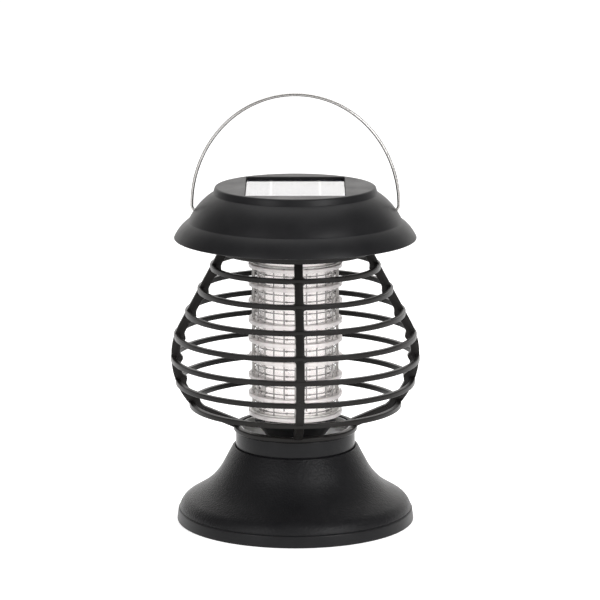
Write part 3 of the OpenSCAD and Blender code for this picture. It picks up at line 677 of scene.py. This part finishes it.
def window_reach(turns, w, d, corner):
    """Distance from the middle of a w x d rectangle with round corners to its edge, in the
    directions `turns`: the nearer side, or the far side of the corner's circle."""
    c, s = np.abs(np.cos(turns)), np.abs(np.sin(turns))
    reach = np.minimum(w / 2 / np.maximum(c, 1e-9), d / 2 / np.maximum(s, 1e-9))
    mx, my = w / 2 - corner, d / 2 - corner
    along = c * mx + s * my
    inside = np.clip(along**2 - mx**2 - my**2 + corner**2, 0, None)
    return np.where((c * reach > mx) & (s * reach > my), along + np.sqrt(inside), reach)


corner_turn = math.atan2(window_d, window_w)
corner_turns = np.array([corner_turn, math.pi - corner_turn, math.pi + corner_turn, -corner_turn])
near_corner = np.radians(np.linspace(-1.5, 1.5, 13))
cap_turns = np.unique(np.concatenate([
    np.arange(0, 360, 1.5), np.degrees((corner_turns[:, None] + near_corner).ravel()) % 360]).round(4))
cap_turns = np.radians(cap_turns[np.diff(np.append(cap_turns, 360.0)) > 0.12])
lip = np.radians(np.linspace(0, 90, 5))
reach = window_reach(cap_turns, window_w, window_d, window_corner)
rows_r = [0 * reach, 0.5 * reach, reach - 0.25, reach, reach, reach]
rows_z = [window_floor, window_floor, window_floor, window_floor + 0.25, cap_top - 1.2, cap_top - 0.5]
rows_r += [reach + 0.5 * (1 - math.cos(a)) for a in lip]
rows_z += [cap_top - 0.5 + 0.5 * math.sin(a) for a in lip]
for share in (0.25, 0.5, 0.75):
    rows_r.append((reach + 0.5) * (1 - share) + (flat_r - 0.7) * share)
    rows_z.append(cap_top)
cap_side = np.concatenate([
    [(flat_r - 0.7, cap_top), (flat_r, cap_top - 0.5)],
    arc(cap_shoulder_centre, cap_shoulder_r, 59.3, 25.9, 36),
    arc(cap_flare_centre, cap_flare_r, 56.6, 25.3, 28), [(65.1, cap_rim + 0.3), (64.6, cap_rim)],
    arc(cap_flare_centre, cap_flare_r - cap_wall, 26, 60, 20),
    arc(cap_shoulder_centre, cap_shoulder_r - cap_wall, 24.5, 59.3, 24),
    [(41.3, cap_under), (20, cap_under), (0, cap_under)]])
cap_side = soften(np.concatenate([[(0, cap_top)], cap_side]), 0.35)[1:]
rows_r += [r + 0 * reach for r in cap_side[:, 0]]
rows_z += list(cap_side[:, 1])
rows_r, rows_z = np.array(rows_r), np.array(rows_z)[:, None]
cap_rows = np.stack([rows_r * np.cos(cap_turns), rows_r * np.sin(cap_turns), rows_z + 0 * rows_r], -1)
cap_skin = cap_rows.reshape(-1, 3), grid_faces(len(cap_rows), len(cap_turns), False, True)[:, ::-1]
cap_posts = [(50 * math.cos(a), 50 * math.sin(a)) for a in np.radians([45, 135, 225, 315])]
cap_post = soften([(0, 157), (3.2, 157), (3.2, 170), (0, 170)], 0.3)
cap_parts = [cap_skin] + [moved(turned(cap_post, 32), x, y) for x, y in cap_posts]
cap_dome = piece("cap_dome", joined(cap_parts), cap_plastic, 35)
bail_r = 0.85
hinge_z = (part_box("bail")[0] / mm)[2] + bail_r


def rod(x0, x1, radius, z, steps=28):
    """A round rod lying along X at height z, from x0 to x1."""
    a = np.arange(steps) * 2 * math.pi / steps
    x = np.array([x0, x1])[:, None] + 0 * a
    rows = np.stack([x, radius * np.cos(a) + 0 * x, z + radius * np.sin(a) + 0 * x], -1)
    return capped(rows, flip=True)


mouth_x, mouth_r = 52.4, 1.9
cut_away(cap_dome, [rod(mouth_x, 60, mouth_r, hinge_z), rod(-60, -mouth_x, mouth_r, hinge_z)])
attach(cap_dome, "cap")
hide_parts("cap_shell")

# ---------------------------------------------------------------------------
# Cap base: the black disc that closes the cap, with the twist spigot and the tube's socket
# under it. It is the CAD model's own solid, held up by four screws into the cap's posts.
disc_plastic = black_plastic("disc_plastic", (0.010, 0.010, 0.011), (0.34, 0.48), 0.5, 0.012)


def dress(node_name, finish):
    """Gives a CAD node's object one finish on all its faces."""
    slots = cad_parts[node_name].material_slots
    for k in range(len(slots)):
        slots[k].material = finish


dress("cap_base", disc_plastic)
cap_screw_set = piece("cap_screw_set", screws(cap_posts, 155, 1.2, 9, 2.8, 1.3), screw_steel)
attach(cap_screw_set, "cap")
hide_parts("cap_screws")

# ---------------------------------------------------------------------------
# Solar panel: silicon wafers on a dark board, joined by tinned ribbons, under a clear cast
# window that fills the sunk place in the cap's top.
cells_low, cells_high = [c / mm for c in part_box("solar_cells")]
glass_low, glass_high = [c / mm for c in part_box("panel_glass")]
wafer_finish = new_finish("wafer_finish", {
    "Roughness": 0.35, "Coat Weight": 0.4, "Coat Roughness": 0.15})
where = add(wafer_finish, "TexCoord").outputs["Object"]
parts = add(wafer_finish, "SeparateXYZ", {"Vector": where})
flakes = add(wafer_finish, "TexVoronoi", {"Vector": where, "Scale": 260.0})
finger = add(wafer_finish, "Math", {0: parts.outputs["X"], 1: 1.4 * mm}, operation="PINGPONG")
thin = add(wafer_finish, "Math", {0: finger.outputs["Value"], 1: 0.07 * mm}, operation="LESS_THAN")
blues = ramp(wafer_finish, flakes.outputs["Color"], 0.1, 0.9, (0.006, 0.010, 0.035),
             (0.016, 0.026, 0.085))
silver = add(wafer_finish, "Mix", {"Factor": thin.outputs["Value"]}, data_type="RGBA")
silver.inputs[7].default_value = (0.55, 0.56, 0.58, 1)
wafer_finish.node_tree.links.new(blues, silver.inputs[6])
link(wafer_finish, silver.outputs[2], "Base Color")
panel_w, panel_d = cells_high[0] - cells_low[0], cells_high[1] - cells_low[1]
wafer_parts = [slab((panel_w, panel_d, 0.95), (0, 0, cells_low[2]), 0.7, 0.1)]
wafer_d = (panel_d - 3.5) / 4
wafer_y = [(k - 1.5) * (wafer_d + 0.7) for k in range(4)]
wafer_parts += [slab((panel_w - 3, wafer_d, 0.3), (0, y, cells_low[2] + 0.9), 0.3, 0.06)
                for y in wafer_y]
solar_wafers = piece("solar_wafers", joined(wafer_parts), wafer_finish)
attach(solar_wafers, "cap")
ribbon_tin = new_finish("ribbon_tin", {
    "Metallic": 1.0, "Base Color": (0.7, 0.7, 0.7, 1), "Roughness": 0.3})
where = add(ribbon_tin, "TexCoord").outputs["Object"]
tin = add(ribbon_tin, "TexNoise", {"Vector": where, "Scale": 900.0})
rough = add(ribbon_tin, "MapRange", {"Value": tin.outputs["Fac"], "To Min": 0.2, "To Max": 0.5})
link(ribbon_tin, rough.outputs["Result"], "Roughness")
ribbons = [slab((1.2, panel_d - 2.4, 0.1), (x, 0, cells_low[2] + 1.19), 0.2, 0.03) for x in (-13, 13)]
panel_ribbons = piece("panel_ribbons", joined(ribbons), ribbon_tin)
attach(panel_ribbons, "cap")
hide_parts("solar_cells")
window_glass = new_finish("window_glass", {
    "Base Color": (0.95, 0.96, 0.97, 1), "Transmission Weight": 1.0, "IOR": 1.56, "Roughness": 0.04})
where = add(window_glass, "TexCoord").outputs["Object"]
cast = add(window_glass, "TexNoise", {"Vector": where, "Scale": 120.0, "Detail": 3.0})
bump = add(window_glass, "Bump", {"Height": cast.outputs["Fac"], "Distance": 0.012 * mm,
                                  "Strength": 0.2})
link(window_glass, bump.outputs["Normal"], "Normal")
panel_window = piece("panel_window", slab((panel_w, panel_d, glass_high[2] - glass_low[2] - 0.02),
                                          (0, 0, glass_low[2] + 0.02), 0.7, 0.15), window_glass)
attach(panel_window, "cap")
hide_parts("panel_glass")

# ---------------------------------------------------------------------------
# Works inside the cap: a rechargeable cell in its holder, the converter board with its
# transformer, capacitor and chip, and the diode board over the tube. The CAD model's own solids.


def plain_finish(name, low, high, scale, shine, metal=0.0):
    """A finish whose colour runs from low to high over a noise of `scale` per metre."""
    finish = new_finish(name, {"Metallic": metal})
    where = add(finish, "TexCoord").outputs["Object"]
    noise = add(finish, "TexNoise", {"Vector": where, "Scale": scale, "Detail": 4.0})
    rough = add(finish, "MapRange", {"Value": noise.outputs["Fac"], "To Min": shine[0],
                                     "To Max": shine[1]})
    bump = add(finish, "Bump", {"Height": noise.outputs["Fac"], "Distance": 0.02 * mm, "Strength": 0.5})
    tint(finish, noise.outputs["Fac"], low, high)
    link(finish, rough.outputs["Result"], "Roughness")
    link(finish, bump.outputs["Normal"], "Normal")
    return finish


dress("battery_holder", black_plastic("holder_plastic", (0.01, 0.01, 0.01), (0.4, 0.5), 0.4, 0.01))
works = {
    "battery": ("cell_wrap", (0.02, 0.14, 0.06), (0.03, 0.20, 0.09), 300, (0.25, 0.4)),
    "battery_contacts": ("spring_steel", (0.5, 0.5, 0.48), (0.75, 0.75, 0.72), 700, (0.2, 0.4), 1.0),
    "circuit_board": ("board_resist", (0.01, 0.09, 0.03), (0.02, 0.16, 0.05), 900, (0.3, 0.5)),
    "transformer": ("ferrite", (0.03, 0.027, 0.025), (0.07, 0.06, 0.055), 1500, (0.5, 0.8)),
    "hv_capacitor": ("dipped_red", (0.25, 0.02, 0.015), (0.36, 0.04, 0.02), 500, (0.2, 0.35)),
    "control_chip": ("chip_epoxy", (0.012, 0.012, 0.012), (0.03, 0.03, 0.03), 2500, (0.45, 0.6)),
    "led_board": ("white_resist", (0.72, 0.72, 0.70), (0.82, 0.82, 0.80), 800, (0.3, 0.5)),
    "panel_leads": ("lead_pvc", (0.25, 0.02, 0.02), (0.4, 0.04, 0.03), 600, (0.35, 0.5)),
}
for node_name, look in works.items():
    dress(node_name, plain_finish(*look))
lens_finish = new_finish("diode_lens", {
    "Base Color": (0.78, 0.72, 0.95, 1), "Transmission Weight": 0.8, "IOR": 1.5})
where = add(lens_finish, "TexCoord").outputs["Object"]
haze = add(lens_finish, "TexNoise", {"Vector": where, "Scale": 600.0})
rough = add(lens_finish, "MapRange", {"Value": haze.outputs["Fac"], "To Min": 0.05, "To Max": 0.2})
link(lens_finish, rough.outputs["Result"], "Roughness")
dress("uv_leds", lens_finish)

# ---------------------------------------------------------------------------
# Slide switch: a black body inside the cap, with a pale knob that reaches down through the
# slot in the closing disc and slides from off to on.
dress("switch_body", black_plastic("switch_plastic", (0.012, 0.012, 0.013), (0.35, 0.45), 0.3, 0.008))
knob_low, knob_high = [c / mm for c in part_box("switch_knob")]
knob_white = plain_finish("knob_white", (0.66, 0.65, 0.62), (0.78, 0.77, 0.74), 500, (0.3, 0.45))
knob_x, knob_y = (knob_low[0] + knob_high[0]) / 2, (knob_low[1] + knob_high[1]) / 2
knob_parts = [slab((6, 5.6, 1.2), (knob_x, knob_y, knob_high[2] - 1.2), 0.5, 0.2),
              slab((3.4, 3.0, knob_high[2] - knob_low[2] - 0.6), (knob_x, knob_y, knob_low[2]),
                   0.4, 0.25)]
knob_parts += [slab((0.5, 3.0, 0.6), (knob_x + x, knob_y, knob_low[2]), 0.2, 0.15) for x in (-1, 0, 1)]
slide_knob = piece("slide_knob", joined(knob_parts), knob_white)
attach(slide_knob, "switch")
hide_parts("switch_knob")

# ---------------------------------------------------------------------------
# Bail: one length of bright spring wire, bent to a tall half ellipse and in at both feet to
# the pins that hinge in the cap's shoulder.
bail_half, bend_r, bail_rise = 55.4, 2.4, 59.75
pin_end, pin_r = 48.1, 0.8
bail_steel = new_finish("bail_steel", {"Metallic": 1.0})
where = add(bail_steel, "TexCoord").outputs["Object"]
draw = add(bail_steel, "TexNoise", {"Vector": where, "Scale": 1800.0, "Detail": 4.0})
rough = add(bail_steel, "MapRange", {"Value": draw.outputs["Fac"], "To Min": 0.16, "To Max": 0.34})
bump = add(bail_steel, "Bump", {"Height": draw.outputs["Fac"], "Distance": 0.01 * mm, "Strength": 0.4})
tint(bail_steel, draw.outputs["Fac"], (0.36, 0.35, 0.34), (0.50, 0.49, 0.48))
link(bail_steel, rough.outputs["Result"], "Roughness")
link(bail_steel, bump.outputs["Normal"], "Normal")
low_z = hinge_z + bend_r
bow = np.radians(np.linspace(0, 180, 121))
foot_bend = arc((bail_half - bend_r, low_z), bend_r, -90, 0, 12)[:-1]
pin_x = np.array([pin_end, pin_end + 0.4, bail_half - bend_r - 1.2, bail_half - bend_r - 0.8])
right_foot = np.concatenate([np.column_stack([pin_x, hinge_z + 0 * pin_x]), foot_bend])
bow_line = np.column_stack([bail_half * np.cos(bow), low_z + bail_rise * np.sin(bow)])
bail_line = np.concatenate([right_foot, bow_line, right_foot[::-1] * (-1, 1)])
bail_radii = np.full(len(bail_line), bail_r)
bail_radii[[0, -1]] = pin_r - 0.3
bail_radii[[1, 2, -3, -2]] = pin_r


def bent_wire(line, radii, sides=20):
    """A round wire along a line in the XZ plane. Each ring stands across the line's heading."""
    heading = np.gradient(line, axis=0)
    heading /= np.linalg.norm(heading, axis=1)[:, None]
    a = np.arange(sides) * 2 * math.pi / sides
    out, side = radii[:, None] * np.cos(a), radii[:, None] * np.sin(a)
    x = line[:, :1] + out * heading[:, 1:]
    z = line[:, 1:] - out * heading[:, :1]
    return capped(np.stack([x, side, z], -1), flip=True)


bail_wire = piece("bail_wire", bent_wire(bail_line, bail_radii), bail_steel)
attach(bail_wire, "bail")
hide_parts("bail")

# ---------------------------------------------------------------------------
# Studio: a plain white floor that gives off some light, a dim room that is bright behind, two
# soft boxes at the front and one above. The camera stands a little above and looks down.
floor_finish = new_finish("floor_paint", {"Base Color": (0.88, 0.88, 0.88, 1), "Roughness": 0.7,
                                          "Specular IOR Level": 0.2, "Emission Color": (1, 1, 1, 1),
                                          "Emission Strength": 0.66})
floor_size = 8000.0
corner_x = np.array([-1, 1, 1, -1]) * floor_size
corner_y = np.array([-1, -1, 1, 1]) * floor_size
floor = piece("floor", (np.column_stack([corner_x, corner_y, 0 * corner_x]), np.array([[0, 1, 2, 3]])),
              floor_finish)
world = bpy.data.worlds.new("studio")
bpy.context.scene.world = world
world.use_nodes = True
sky = world.node_tree.nodes["Background"]
way = add(world, "TexCoord").outputs["Generated"]
split = add(world, "SeparateXYZ", {"Vector": way})
behind = add(world, "MapRange", {"Value": split.outputs["Y"], "From Min": 0.4, "From Max": 0.95,
                                 "To Min": 0.28, "To Max": 1.45}, interpolation_type="SMOOTHSTEP")
world.node_tree.links.new(behind.outputs["Result"], sky.inputs["Strength"])
sky.inputs["Color"].default_value = (1.0, 0.985, 0.97, 1)


def soft_box(name, place, aim, width, height, power):
    """A rectangular lamp at `place` that faces the point `aim`."""
    lamp = bpy.data.lights.new(name, "AREA")
    lamp.shape, lamp.size, lamp.size_y, lamp.energy = "RECTANGLE", width, height, power
    made = bpy.data.objects.new(name, lamp)
    bpy.context.scene.collection.objects.link(made)
    made.location = place
    made.rotation_euler = (Vector(place) - Vector(aim)).to_track_quat("Z", "Y").to_euler()


middle = (0, 0, (cad_low[2] + cad_high[2]) / 2)
soft_box("key_box", (0.95, -1.15, 0.75), middle, 0.5, 1.0, 15)
soft_box("fill_box", (-0.95, -1.15, 0.65), middle, 0.5, 1.0, 7)
soft_box("top_box", (0, 0.35, 1.3), (0, 0.1, 0), 1.2, 1.0, 8)
camera = bpy.data.objects.new("camera", bpy.data.cameras.new("camera"))
bpy.context.scene.collection.objects.link(camera)
camera.data.sensor_width = 36
camera.data.lens = 206.5
camera.location = (0.0025, -1.816, 0.485)
camera.rotation_euler = (math.radians(90 - 11.34), 0, 0)
camera.data.clip_start, camera.data.clip_end = 0.05, 50
bpy.context.scene.camera = camera
bpy.context.scene.view_settings.view_transform = "Standard"
